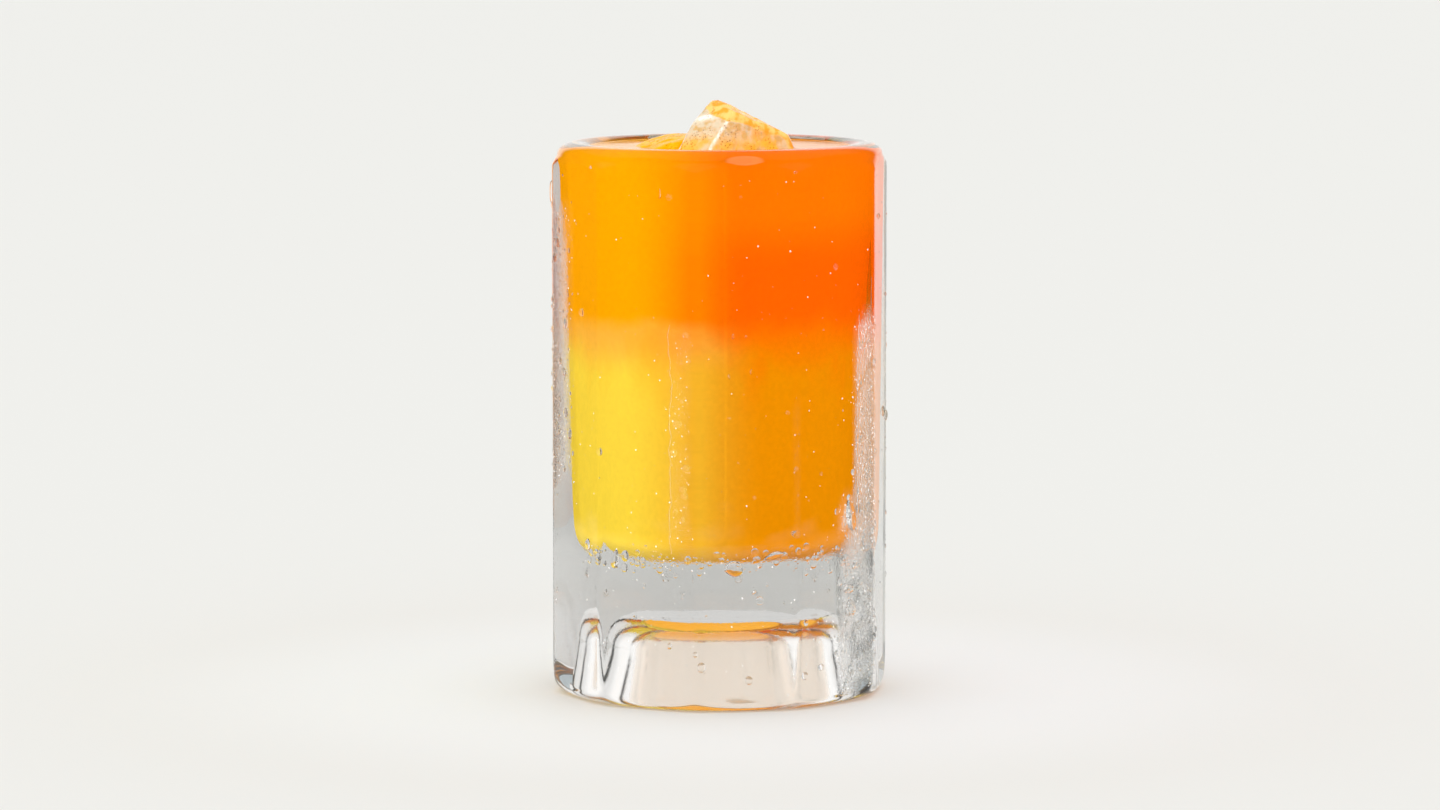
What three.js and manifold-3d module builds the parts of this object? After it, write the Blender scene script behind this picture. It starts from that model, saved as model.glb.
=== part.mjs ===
// A thick pressed-glass tumbler of orange and carrot juice with ice.
// Millimetres, +Z up. The origin is the centre of the foot, on the surface the glass stands on,
// and one of the ten flat panels faces -Y.
import * as THREE from "three";
import { mergeVertices } from "three/addons/utils/BufferGeometryUtils.js";
import Module from "manifold-3d";

// Driving dimensions
const glassHeight = 125;
const acrossFlats = 73.4;
const panelCount = 10;
const cornerFillet = 3.7; // radius that softens each upright corner between two panels
const cavityFloor = 32; // height of the drink's underside: the thick solid base
const cavityRadius = 21.7; // where the cavity wall would meet that floor if it were not rounded
const cavityDraft = THREE.MathUtils.degToRad(4); // the taper that lets the press's plunger out
const cavityCorner = 6;
const kickHeight = 18.3; // the hollow under the foot
const layerHeight = 86; // where the orange juice ends and the carrot juice begins
const drinkLevel = 124;
const clearance = 0.3; // between pieces that only touch

const panelAngle = (2 * Math.PI) / panelCount;
const panelDistance = acrossFlats / 2;
const columnsPerPanel = 6;
const arcSteps = 3; // a Path draws each of its arcs with twice as many segments

const foot = { innerRadius: 24.2, outerRadius: 33.8, round: 4.8 };
const kick = { flatRadius: 14, wallRadius: 20.6, springHeight: 11, mouthRadius: 23.2, edgeRound: 0.9 };
const lip = { crestRadius: 32.8, outerRadius: 36.9, outerDrop: 2.8, innerDrop: 3.5, shoulderDrop: 5 };

const wasm = await Module();
wasm.setup();

// Cavity wall, before the lip: its radius at a height
const wallRadius = (z) => cavityRadius + Math.tan(cavityDraft) * (z - cavityFloor);

// Distance from the axis to the rounded ten-sided outline, in the direction of an angle
function panelRadius(angle) {
  const offPanel = angle - panelAngle * Math.round(angle / panelAngle);
  const offCorner = panelAngle / 2 - Math.abs(offPanel);
  const filletCentre = (panelDistance - cornerFillet) / Math.cos(panelAngle / 2);
  const flatEnd = Math.atan(((panelDistance - cornerFillet) * Math.tan(panelAngle / 2)) / panelDistance);
  if (Math.abs(offPanel) <= flatEnd) return panelDistance / Math.cos(offPanel);
  const across = filletCentre * Math.sin(offCorner);
  return filletCentre * Math.cos(offCorner) + Math.sqrt(cornerFillet ** 2 - across ** 2);
}

// Moves the lathe's even columns together at the corners, so that each fillet gets its share
function columnAngle(angle) {
  const panel = Math.round(angle / panelAngle);
  const share = (angle - panel * panelAngle) / (panelAngle / 2);
  return (panel + (Math.sign(share) * Math.abs(share) ** 0.8) / 2) * panelAngle;
}

// A closed manifold solid from any three.js geometry
function solidFrom(geometry) {
  const bare = geometry.index ? geometry.toNonIndexed() : geometry.clone();
  bare.deleteAttribute("normal");
  bare.deleteAttribute("uv");
  const merged = mergeVertices(bare, 1e-4);
  const mesh = new wasm.Mesh({
    numProp: 3,
    vertProperties: merged.attributes.position.array,
    triVerts: new Uint32Array(merged.index.array),
  });
  return new wasm.Manifold(mesh);
}

function geometryFrom(solid) {
  const { vertProperties, triVerts } = solid.getMesh();
  const geometry = new THREE.BufferGeometry();
  geometry.setAttribute("position", new THREE.BufferAttribute(vertProperties, 3));
  geometry.setIndex(new THREE.BufferAttribute(triVerts, 1));
  geometry.computeVertexNormals();
  return geometry;
}

// Turns a profile of (radius, height) round +Z. What lies outside the panels is cut flat.
function turned(profile) {
  const lathe = new THREE.LatheGeometry(profile.getPoints(arcSteps), panelCount * columnsPerPanel);
  lathe.rotateX(Math.PI / 2);
  const position = lathe.attributes.position;
  for (let i = 0; i < position.count; i++) {
    const angle = columnAngle(Math.atan2(position.getX(i), -position.getY(i)));
    const radius = Math.min(Math.hypot(position.getX(i), position.getY(i)), panelRadius(angle));
    position.setXY(i, radius * Math.sin(angle), -radius * Math.cos(angle));
  }
  return solidFrom(lathe);
}

// The cavity's side from its floor to just inside the lip, held in by a gap
function cavitySide(path, gap, from, to) {
  const cornerRadius = cavityCorner - gap;
  const cornerZ = cavityFloor + cavityCorner;
  const cornerR = wallRadius(cornerZ) - cavityCorner;
  if (from < cornerZ) {
    path.moveTo(0, cavityFloor + gap);
    path.lineTo(cornerR, cavityFloor + gap);
    path.absarc(cornerR, cornerZ, cornerRadius, -Math.PI / 2, -cavityDraft);
  } else {
    path.moveTo(0, from);
    path.lineTo(wallRadius(from) - gap, from);
  }
  const wallTop = Math.min(to, glassHeight - lip.innerDrop);
  path.lineTo(wallRadius(wallTop) - gap, wallTop);
  return path;
}

// The glass: hollow foot, panelled outside, rounded lip and tapering cavity, as one turned profile
function makeGlass() {
  const lipBase = glassHeight - lip.innerDrop;
  const innerWidth = lip.crestRadius - wallRadius(lipBase);
  const outerWidth = lip.outerRadius - lip.crestRadius;
  const blankRadius = foot.outerRadius + foot.round;
  const cornerZ = cavityFloor + cavityCorner;
  const cornerR = wallRadius(cornerZ) - cavityCorner;
  const profile = new THREE.Path();
  profile.moveTo(0, kickHeight);
  profile.lineTo(kick.flatRadius, kickHeight);
  profile.absellipse(
    kick.flatRadius, kick.springHeight,
    kick.wallRadius - kick.flatRadius, kickHeight - kick.springHeight,
    Math.PI / 2, 0, true,
  );
  profile.lineTo(kick.mouthRadius, kick.edgeRound);
  profile.lineTo(foot.innerRadius, 0);
  profile.lineTo(foot.outerRadius, 0);
  profile.absarc(foot.outerRadius, foot.round, foot.round, -Math.PI / 2, 0);
  profile.lineTo(blankRadius, glassHeight - lip.shoulderDrop);
  profile.lineTo(lip.outerRadius, glassHeight - lip.outerDrop);
  profile.absellipse(
    lip.crestRadius, glassHeight - lip.outerDrop,
    outerWidth, lip.outerDrop, 0, Math.PI / 2,
  );
  profile.absellipse(lip.crestRadius, lipBase, innerWidth, lip.innerDrop, Math.PI / 2, Math.PI);
  profile.lineTo(wallRadius(cornerZ), cornerZ);
  profile.absarc(cornerR, cornerZ, cavityCorner, -cavityDraft, -Math.PI / 2, true);
  profile.lineTo(0, cavityFloor);
  return turned(profile);
}

// The lower drink, from the cavity's floor up to where the two juices meet
function makeOrangeJuice() {
  const profile = cavitySide(new THREE.Path(), clearance, cavityFloor, layerHeight);
  profile.lineTo(0, layerHeight);
  return turned(profile);
}

// The upper drink, up to its level just under the lip
function makeCarrotJuice() {
  const lipBase = glassHeight - lip.innerDrop;
  const innerWidth = lip.crestRadius - wallRadius(lipBase);
  const levelAngle = Math.asin((drinkLevel - lipBase) / lip.innerDrop);
  const profile = cavitySide(new THREE.Path(), clearance, layerHeight, drinkLevel);
  profile.absellipse(
    lip.crestRadius - clearance, lipBase, innerWidth, lip.innerDrop,
    Math.PI, Math.PI - levelAngle, true,
  );
  profile.lineTo(0, drinkLevel);
  return turned(profile);
}

// Half-melted cubes. Each face is [x, y, z, distance]: which way it looks, and how far it lies
// from the cube's centre. The smaller the sharpness, the more its edges have melted.
const tallIce = {
  centre: [1.6, -11.9, 120.3],
  sharpness: 26,
  faces: [
    [-0.48, -0.66, 0.58, 11.3], [0.3, -0.94, 0.14, 5.9], [-0.41, -0.34, 0.85, 13.2],
    [0.42, -0.16, 0.89, 11.3], [0.42, 0.69, 0.6, 9.6], [-0.75, 0.63, 0.2, 9.2],
    [0.9, -0.25, 0.35, 13.4], [0.57, 0.49, -0.65, 12.5], [-0.32, 0.92, -0.22, 11.5],
    [-0.42, 0.16, -0.89, 12.0], [-0.42, -0.69, -0.6, 12.0],
  ],
};
const lowIce = {
  centre: [-12.9, -1.9, 117.2],
  sharpness: 8,
  faces: [
    [-0.13, -0.08, 0.99, 8.6], [-0.58, -0.11, 0.81, 8.9], [0.75, -0.63, -0.2, 6.8],
    [0.4, -0.07, -0.91, 8.5], [-0.96, -0.27, 0.11, 9.8], [0.05, -0.99, 0.11, 9.0],
    [-0.19, 0.98, 0, 8], [0.87, 0.49, 0, 8.5], [-0.55, 0.45, -0.7, 8.5],
  ],
};

// An ice chunk: each point of a sphere is drawn in to a smoothed smallest distance to the faces
function makeIce({ centre, sharpness, faces }, grow = 0) {
  const planes = faces.map(([x, y, z, distance]) => ({
    normal: new THREE.Vector3(x, y, z).normalize(),
    distance: distance + grow,
  }));
  const sphere = new THREE.IcosahedronGeometry(1, 7);
  const position = sphere.attributes.position;
  const point = new THREE.Vector3();
  for (let i = 0; i < position.count; i++) {
    point.fromBufferAttribute(position, i).normalize();
    const pull = planes.reduce((sum, { normal, distance }) => {
      return sum + (Math.max(0, point.dot(normal)) / distance) ** sharpness;
    }, 0);
    point.multiplyScalar(pull ** (-1 / sharpness));
    position.setXYZ(i, point.x, point.y, point.z);
  }
  sphere.translate(...centre);
  return solidFrom(sphere);
}

const finishes = {
  glass: { color: "#dfe6e2", roughness: 0.05, metalness: 0, transparent: true, opacity: 0.35 },
  orangeJuice: { color: "#f9b421", roughness: 0.35, metalness: 0 },
  carrotJuice: { color: "#fb7a08", roughness: 0.35, metalness: 0 },
  ice: { color: "#f3e6cd", roughness: 0.12, metalness: 0 },
};

const drink = new THREE.Group();
function add(name, solid, finish) {
  const mesh = new THREE.Mesh(geometryFrom(solid), new THREE.MeshStandardMaterial(finishes[finish]));
  mesh.name = name;
  drink.add(mesh);
}

const icePockets = wasm.Manifold.union(makeIce(tallIce, clearance), makeIce(lowIce, clearance));
add("glass", makeGlass(), "glass");
add("orange_juice", makeOrangeJuice(), "orangeJuice");
add("carrot_juice", makeCarrotJuice().subtract(icePockets), "carrotJuice");
add("ice_tall", makeIce(tallIce), "ice");
add("ice_low", makeIce(lowIce), "ice");

export default drink;
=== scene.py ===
import math

import bmesh
import bpy
import numpy as np
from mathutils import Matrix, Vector, noise


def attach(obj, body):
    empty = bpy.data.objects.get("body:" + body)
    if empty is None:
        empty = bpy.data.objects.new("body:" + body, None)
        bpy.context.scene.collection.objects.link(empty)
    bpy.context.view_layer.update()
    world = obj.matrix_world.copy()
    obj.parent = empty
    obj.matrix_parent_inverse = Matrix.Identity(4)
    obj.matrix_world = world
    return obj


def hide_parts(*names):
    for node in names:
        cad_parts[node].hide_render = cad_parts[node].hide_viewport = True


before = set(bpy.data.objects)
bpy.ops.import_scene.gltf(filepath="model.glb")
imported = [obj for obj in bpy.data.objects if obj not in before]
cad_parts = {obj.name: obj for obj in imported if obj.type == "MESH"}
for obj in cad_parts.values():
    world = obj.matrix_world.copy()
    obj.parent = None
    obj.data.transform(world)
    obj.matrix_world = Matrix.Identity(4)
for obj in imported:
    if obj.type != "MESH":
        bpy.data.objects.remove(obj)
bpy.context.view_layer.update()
scene = bpy.context.scene
scene.view_settings.view_transform = "Standard"  # juice colours stay as bright as they are named
print("frame loaded:", ", ".join(sorted(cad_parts)))

mm = 0.001


def linear(hexColour):
    channels = [int(hexColour[i:i + 2], 16) / 255 for i in (1, 3, 5)]
    return tuple(c / 12.92 if c <= 0.04045 else ((c + 0.055) / 1.055) ** 2.4 for c in channels) + (1.0,)


# Adds a node. Inputs are given by name or number, each a plain value or the output that feeds it.
def addNode(tree, kind, inputs=None, **settings):
    node = tree.nodes.new(kind)
    for name, value in settings.items():
        setattr(node, name, value)
    for key, value in (inputs or {}).items():
        if isinstance(value, bpy.types.NodeSocket):
            tree.links.new(value, node.inputs[key])
        else:
            node.inputs[key].default_value = value
    return node


def mathOf(tree, operation, *values):
    return addNode(tree, "ShaderNodeMath", dict(enumerate(values)), operation=operation).outputs[0]


def rangeOf(tree, value, start, end, low, high, kind="SMOOTHSTEP"):
    return addNode(tree, "ShaderNodeMapRange", {0: value, 1: start, 2: end, 3: low, 4: high},
                   interpolation_type=kind).outputs[0]


# The same between two marks in mm
def fadeOf(tree, place, marks, low, high, kind="SMOOTHSTEP"):
    return rangeOf(tree, place, marks[0] * mm, marks[1] * mm, low, high, kind)


# Blends two colours, each a hex colour or the output that gives it
def blendOf(tree, amount, first, second):
    colours = [linear(c) if isinstance(c, str) else c for c in (first, second)]
    return addNode(tree, "ShaderNodeMix", {0: amount, 6: colours[0], 7: colours[1]},
                   data_type="RGBA").outputs[2]


def noiseOf(tree, vector, scale, detail):
    return addNode(tree, "ShaderNodeTexNoise", {
        "Vector": vector, "Scale": scale, "Detail": detail,
    }).outputs[0]


# Bumps a surface, on top of another bump where one is given
def bumpOf(tree, height, strength, distance, under=None, **settings):
    inputs = {"Height": height, "Strength": strength, "Distance": distance}
    if under is not None:
        inputs["Normal"] = under
    return addNode(tree, "ShaderNodeBump", inputs, **settings).outputs[0]


# Lets the light that makes shadows straight through a clear surface, with only a faint tint
def clearShadow(tree, surface, tint, alsoClear=None):
    share = addNode(tree, "ShaderNodeLightPath").outputs["Is Shadow Ray"]
    if alsoClear is not None:
        share = mathOf(tree, "MAXIMUM", share, alsoClear)
    clear = addNode(tree, "ShaderNodeBsdfTransparent", {"Color": linear(tint)})
    return addNode(tree, "ShaderNodeMixShader", {
        0: share, 1: surface.outputs[0], 2: clear.outputs[0],
    }).outputs[0]


def newMaterial(name):
    material = bpy.data.materials.new(name)
    material.use_nodes = True
    material.node_tree.nodes.clear()
    return material, material.node_tree


def newPiece(name, vertices, faces, materials=()):
    mesh = bpy.data.meshes.new(name)
    mesh.from_pydata([tuple(v) for v in vertices], [], faces)
    mesh.validate()
    mesh.shade_smooth()
    mesh.set_sharp_from_angle(angle=math.radians(50))
    for material in materials:
        mesh.materials.append(material)
    piece = bpy.data.objects.new(name, mesh)
    scene.collection.objects.link(piece)
    return piece


photo = {
    "azimuth": 9.5,  # degrees from the front panel's normal, towards -X
    "distance": 1.3,
    "height": 0.202,
    "aimHeight": 0.065,
    "frameWidth": 0.3258,  # metres across the frame, at the glass's axis
}
turn = math.radians(photo["azimuth"])
front = Vector((-math.sin(turn), -math.cos(turn), 0))  # from the glass towards the camera


def makeCamera():
    data = bpy.data.cameras.new("camera")
    data.sensor_width = 36
    data.lens = 36 * photo["distance"] / photo["frameWidth"]
    data.clip_end = 60
    camera = bpy.data.objects.new("camera", data)
    camera.location = front * photo["distance"] + Vector((0, 0, photo["height"]))
    aim = Vector((0, 0, photo["aimHeight"])) - camera.location
    camera.rotation_euler = aim.to_track_quat("-Z", "Y").to_euler()
    scene.collection.objects.link(camera)
    scene.camera = camera


studio = {
    "floorReach": 9,  # metres from the glass to the edge of the sheet
    "floorColour": "#ecedeb", "floorPaintedPool": "#f5fafd",  # painted brighter near the glass, a painted pool of light
    "poolEdge": (45, 150),  # mm from the glass's axis
    # Painted shade: the sheet is painted dark for what polished glass mirrors of the room round the lit
    # sheet, and from how many mm away
    "floorShade": "#1c1a18", "shadeFrom": (260, 360),
    "skyColour": "#fffefc", "skyStrength": 1.06,
    "unlitRoom": 0.03,  # strength of what polished glass mirrors of the room
    # Wide soft lights on the glass: where each stands, degrees across, strength
    "windows": [
        ((-0.8, -0.6, 0.3), 80, 4.7), ((0.6, -0.8, 0.3), 80, 4.5),
        ((-0.7, 0.7, 0.3), 80, 3.0), ((0.7, 0.7, 0.3), 80, 3.4),
    ],
    "sparkle": ((-0.2, -0.78, 0.6), 14, 1.5),  # a small lamp on the ice
    "ceiling": 0.15,
    # Seen through the glass: the dim warm room in front of it, and the white walls at both sides
    "nearSide": ("#a3905e", 0.75),
    "sideWalls": 1.32,
    # Where each of these fades in: cosines of the angle to the middle of it
    "sheetFade": (-0.85, -0.65), "backdropFade": (-0.93, -0.8), "ceilingFade": (0.35, 0.7),
    "nearSideFade": (0.15, 0.5), "sideWallsFade": (0.4, 0.7),
}
# Which lights fall on what
leftDark = bpy.data.collections.new("not lit by the windows")
sparkling = bpy.data.collections.new("lit by the small lamp")


def keepDark(piece):
    leftDark.objects.link(piece)
    leftDark.collection_objects[-1].light_linking.link_state = "EXCLUDE"


# How far a vector goes along a direction
def alongOf(tree, vector, direction):
    return addNode(tree, "ShaderNodeVectorMath", {0: vector, 1: tuple(direction)},
                   operation="DOT_PRODUCT").outputs["Value"]


# 1 for what is seen by reflection, and 0 for what is seen directly or through the glass
def mirroredRay(tree):
    path = addNode(tree, "ShaderNodeLightPath").outputs
    return mathOf(tree, "SUBTRACT", path["Is Glossy Ray"], path["Is Transmission Ray"])


# A plain pale sheet of matte paper, with hardly any shine
def makeFloor():
    reach = studio["floorReach"]
    corners = [(-reach, -reach, 0), (reach, -reach, 0), (reach, reach, 0), (-reach, reach, 0)]
    floor = newPiece("floor", corners, [(0, 1, 2, 3)])
    material, tree = newMaterial("matte paper sheet")
    coordinates = addNode(tree, "ShaderNodeTexCoord").outputs["Object"]
    # The paper's tooth, about 4 mm across
    tooth = bumpOf(tree, noiseOf(tree, coordinates, 260.0, 3.0), 0.15, 0.0004)
    distance = addNode(tree, "ShaderNodeVectorMath", {0: coordinates}, operation="LENGTH").outputs["Value"]
    outward = addNode(tree, "ShaderNodeVectorMath", {0: coordinates}, operation="NORMALIZE").outputs[0]
    # Painted shade: away from the backdrop and past a distance, the sheet is painted dark for mirrored rays
    # only
    beside = rangeOf(tree, alongOf(tree, outward, front), *studio["sheetFade"], 0.0, 1.0)
    away = fadeOf(tree, distance, studio["shadeFrom"], 0.0, 1.0)
    paintedShade = mathOf(tree, "MULTIPLY", mathOf(tree, "MULTIPLY", beside, away), mirroredRay(tree))
    # Painted light: the sheet is painted brighter near the glass, fading out between the pool's edges
    sheet = blendOf(tree, fadeOf(tree, distance, studio["poolEdge"], 0.0, 1.0),
                    studio["floorPaintedPool"], studio["floorColour"])
    shader = addNode(tree, "ShaderNodeBsdfPrincipled", {
        "Base Color": blendOf(tree, paintedShade, sheet, studio["floorShade"]), "Roughness": 0.9,
        "Specular IOR Level": 0.1, "Normal": tooth,
    })
    addNode(tree, "ShaderNodeOutputMaterial", {"Surface": shader.outputs[0]})
    floor.data.materials.append(material)
    return floor


def makeLight(floor):
    world = bpy.data.worlds.new("studio")
    scene.world = world
    world.use_nodes = True
    tree = world.node_tree
    tree.nodes.clear()
    way = addNode(tree, "ShaderNodeTexCoord").outputs["Generated"]
    forward = alongOf(tree, way, front)
    # Polished glass mirrors a dark room, apart from the lit backdrop behind it
    backdrop = rangeOf(tree, forward, *studio["backdropFade"], studio["skyStrength"], studio["unlitRoom"])
    above = rangeOf(tree, alongOf(tree, way, (0, 0, 1)), *studio["ceilingFade"], 0.0, studio["ceiling"])
    mirrored = mathOf(tree, "MAXIMUM", backdrop, above)
    transmitted = addNode(tree, "ShaderNodeLightPath").outputs["Is Transmission Ray"]
    nearSide = mathOf(tree, "MULTIPLY", transmitted,
                      rangeOf(tree, forward, *studio["nearSideFade"], 0.0, 1.0))
    sideways = mathOf(tree, "ABSOLUTE", alongOf(tree, way, (front.y, -front.x, 0)))
    walls = mathOf(tree, "MULTIPLY", transmitted,
                   rangeOf(tree, sideways, *studio["sideWallsFade"], 0.0, 1.0))
    lit = rangeOf(tree, walls, 0.0, 1.0, studio["skyStrength"], studio["sideWalls"], "LINEAR")
    roomColour, roomStrength = studio["nearSide"]
    unmirrored = addNode(tree, "ShaderNodeMix", {0: nearSide, 2: lit, 3: roomStrength}).outputs[0]
    strength = addNode(tree, "ShaderNodeMix", {0: mirroredRay(tree), 2: unmirrored, 3: mirrored}).outputs[0]
    colour = blendOf(tree, nearSide, studio["skyColour"], roomColour)
    glow = addNode(tree, "ShaderNodeBackground", {"Color": colour, "Strength": strength})
    addNode(tree, "ShaderNodeOutputWorld", {"Surface": glow.outputs[0]})
    # The windows light the glass and not the sheet, which the even sky keeps free of their shadows
    keepDark(floor)
    for i, facts in enumerate(studio["windows"]):
        window = makeSun(f"window{i}", facts)
        window.visible_glossy = False
        window.visible_transmission = False
        window.light_linking.receiver_collection = leftDark
    makeSun("sparkle", studio["sparkle"]).light_linking.receiver_collection = sparkling


def makeSun(name, facts):
    place, across, power = facts
    data = bpy.data.lights.new(name, "SUN")
    data.energy = power
    data.angle = math.radians(across)
    sun = bpy.data.objects.new(name, data)
    sun.rotation_euler = Vector(place).to_track_quat("Z", "Y").to_euler()
    scene.collection.objects.link(sun)
    return sun


makeCamera()
makeLight(makeFloor())
print("camera and studio made")

# The glass's sizes, in millimetres as the CAD has them
shape = {
    "height": 125, "acrossFlats": 73.4, "panels": 10, "cornerFillet": 3.7,
    "cavityFloor": 32, "cavityRadius": 21.7, "cavityDraft": 4, "cavityCorner": 6,
    "kickHeight": 18.3, "kickFlat": 14, "kickWall": 20.6, "kickSpring": 11, "kickMouth": 23.2,
    "kickEdge": 0.9, "footInner": 24.2, "footOuter": 33.8, "footRound": 4.8,
    "lipCrest": 32.8, "lipOuter": 36.9, "lipOuterDrop": 2.8, "lipInnerDrop": 3.5, "lipShoulder": 5,
    "blankPast": 0.8,  # how far the turned blank lies past the panels' corners
    "panelsFrom": 30,  # only what lies past this radius is cut to the panels
    "blend": 0.9,  # softens where the panels run into the lip and the foot
    # Columns on each half of a panel, and rows up each part of the profile
    "panelColumns": 7, "filletColumns": 6,
    "kickRows": 18, "kickWallRows": 6, "kickEdgeRows": 6, "footRows": 14, "sideRows": 40,
    "lipOuterRows": 12, "lipInnerRows": 14, "cornerRows": 12, "cavityRows": 36,
}
panelAngle = 2 * math.pi / shape["panels"]
panelDistance = shape["acrossFlats"] / 2
filletCentre = (panelDistance - shape["cornerFillet"]) / math.cos(panelAngle / 2)
draft = math.tan(math.radians(shape["cavityDraft"]))


def wallRadius(z):
    return shape["cavityRadius"] + draft * (z - shape["cavityFloor"])


# Each column of the lathe as (angle from -Y, radius of the ten-sided outline there)
def outline():
    flatHalf = (panelDistance - shape["cornerFillet"]) * math.tan(panelAngle / 2)
    half = []
    for i in range(shape["panelColumns"]):
        across = flatHalf * math.sin(math.pi / 2 * i / shape["panelColumns"])
        half.append((math.atan2(across, panelDistance), math.hypot(across, panelDistance)))
    for i in range(shape["filletColumns"] + 1):
        swing = panelAngle / 2 * i / shape["filletColumns"]
        x = flatHalf + shape["cornerFillet"] * math.sin(swing)
        y = panelDistance - shape["cornerFillet"] * (1 - math.cos(swing))
        half.append((math.atan2(x, y), math.hypot(x, y)))
    panel = [(-a, r) for a, r in half[:0:-1]] + half[:-1]
    return [(a + k * panelAngle, r) for k in range(shape["panels"]) for a, r in panel]


def arc(centreR, centreZ, radiusR, radiusZ, start, end, steps):
    angles = np.radians(np.linspace(start, end, steps + 1))
    return [(centreR + radiusR * math.cos(a), centreZ + radiusZ * math.sin(a)) for a in angles]


def softMin(a, b, blend):
    overlap = max(blend - abs(a - b), 0) / blend
    return min(a, b) - overlap * overlap * blend / 4


# Turns a profile of (radius, height), from axis to axis, round +Z and cuts it to the panels
def turned(name, profile, materials=()):
    columns = outline()
    count = len(columns)
    vertices = [(0, 0, profile[0][1] * mm)]
    for r, z in profile[1:-1]:
        for angle, limit in columns:
            radius = (softMin(r, limit, shape["blend"]) if r > shape["panelsFrom"] else r) * mm
            vertices.append((radius * math.sin(angle), -radius * math.cos(angle), z * mm))
    vertices.append((0, 0, profile[-1][1] * mm))
    last = len(vertices) - 1
    faces = [(0, 1 + (j + 1) % count, 1 + j) for j in range(count)]
    rows = len(profile) - 2
    for i in range(rows - 1):
        low, high = 1 + i * count, 1 + (i + 1) * count
        for j in range(count):
            k = (j + 1) % count
            faces.append((low + j, low + k, high + k, high + j))
    top = 1 + (rows - 1) * count
    faces += [(top + j, top + (j + 1) % count, last) for j in range(count)]
    return newPiece(name, vertices, faces, materials)


# The cavity's corner and wall from the floor up, moved out into the glass by a reach
def cavityWall(reach, top, cornerSteps, wallSteps):
    cornerZ = shape["cavityFloor"] + shape["cavityCorner"]
    cornerR = wallRadius(cornerZ) - shape["cavityCorner"]
    radius = shape["cavityCorner"] + reach
    side = [(cornerR * i / 6, shape["cavityFloor"] - reach) for i in range(6)]
    side += arc(cornerR, cornerZ, radius, radius, -90, -shape["cavityDraft"], cornerSteps)
    heights = np.linspace(side[-1][1], top, wallSteps + 1)[1:]
    return side + [(wallRadius(z) + reach, z) for z in heights]


def makeGlassProfile():
    s = shape
    lipBase = s["height"] - s["lipInnerDrop"]
    innerWidth = s["lipCrest"] - wallRadius(lipBase)
    blank = s["footOuter"] + s["footRound"] + s["blankPast"]
    quarters = (0.25, 0.5, 0.75)
    profile = [(s["kickFlat"] * i / 5, s["kickHeight"]) for i in range(5)]
    profile += arc(s["kickFlat"], s["kickSpring"], s["kickWall"] - s["kickFlat"],
                   s["kickHeight"] - s["kickSpring"], 90, 0, s["kickRows"])
    for i in range(1, s["kickWallRows"] + 1):
        t = i / s["kickWallRows"]
        profile.append((s["kickWall"] + (s["kickMouth"] - s["kickWall"]) * t,
                        s["kickSpring"] + (s["kickEdge"] - s["kickSpring"]) * t))
    edgeCentre = s["footInner"] + 0.1
    profile += arc(edgeCentre, s["kickEdge"], edgeCentre - s["kickMouth"], s["kickEdge"],
                   200, 270, s["kickEdgeRows"])
    profile += [(s["footInner"] + (s["footOuter"] - s["footInner"]) * t, 0) for t in quarters]
    profile += arc(s["footOuter"], s["footRound"], s["footRound"], s["footRound"], -90, 0, s["footRows"])
    sideStart, sideEnd = s["footRound"] + 1.6, s["height"] - s["lipShoulder"] - 1
    profile += [(blank, z) for z in np.linspace(sideStart, sideEnd, s["sideRows"])]
    shoulder = s["height"] - s["lipOuterDrop"]
    profile += [(blank + (s["lipOuter"] - blank) * t, shoulder - s["lipOuterDrop"] * (1 - t))
                for t in quarters]
    profile += arc(s["lipCrest"], shoulder, s["lipOuter"] - s["lipCrest"], s["lipOuterDrop"],
                   0, 90, s["lipOuterRows"])
    profile += arc(s["lipCrest"], lipBase, innerWidth, s["lipInnerDrop"], 90, 180, s["lipInnerRows"])[1:]
    profile += cavityWall(0, lipBase, s["cornerRows"], s["cavityRows"])[-2::-1]
    return profile


# Where the outside has misted over: degrees round from the front panel towards +X, heights in mm,
# and how much fine mist and how many coarse drops it holds
mist = {
    "bands": [
        {"angles": (-28, -19.2), "heights": (35, 87), "fine": 0.16, "coarse": 0.25},
        {"angles": (15.5, 18.5), "heights": (38, 74), "fine": 0.07, "coarse": 0.2},
        {"angles": (46, 58), "heights": (42, 88), "fine": 1.0, "coarse": 0.3},
        {"angles": (37, 58), "heights": (3, 46), "fine": 1.0, "coarse": 1.0},
        {"angles": (-92, -76), "heights": (48, 112), "fine": 0.4, "coarse": 0.5},
        {"angles": (-72, 40), "heights": (5, 32), "fine": 0.05, "coarse": 0.05},
        {"angles": (-66, 38), "heights": (31.5, 36), "fine": 0.3, "coarse": 1.6},
        {"angles": (88, 97), "heights": (26, 84), "fine": 0.8, "coarse": 0.3},
        {"angles": (118, 133), "heights": (6, 58), "fine": 0.6, "coarse": 0.7},
        {"angles": (157, 167), "heights": (40, 92), "fine": 0.8, "coarse": 0.3},
        {"angles": (-134, -122), "heights": (14, 70), "fine": 0.6, "coarse": 0.6},
        {"angles": (-168, -160), "heights": (44, 90), "fine": 0.7, "coarse": 0.3},
    ],
    "softAngle": 1.6, "softHeight": 6,  # degrees and mm over which a band fades out
    "ragged": 1.3, "raggedPitch": 0.35,  # how patchy the bands are, and how many patches to a mm
    "everywhere": (0.01, 0.012),  # fine mist and coarse drops outside the bands
}


def easeIn(value, start, end):
    t = min(max((value - start) / (end - start), 0), 1)
    return t * t * (3 - 2 * t)


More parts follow.
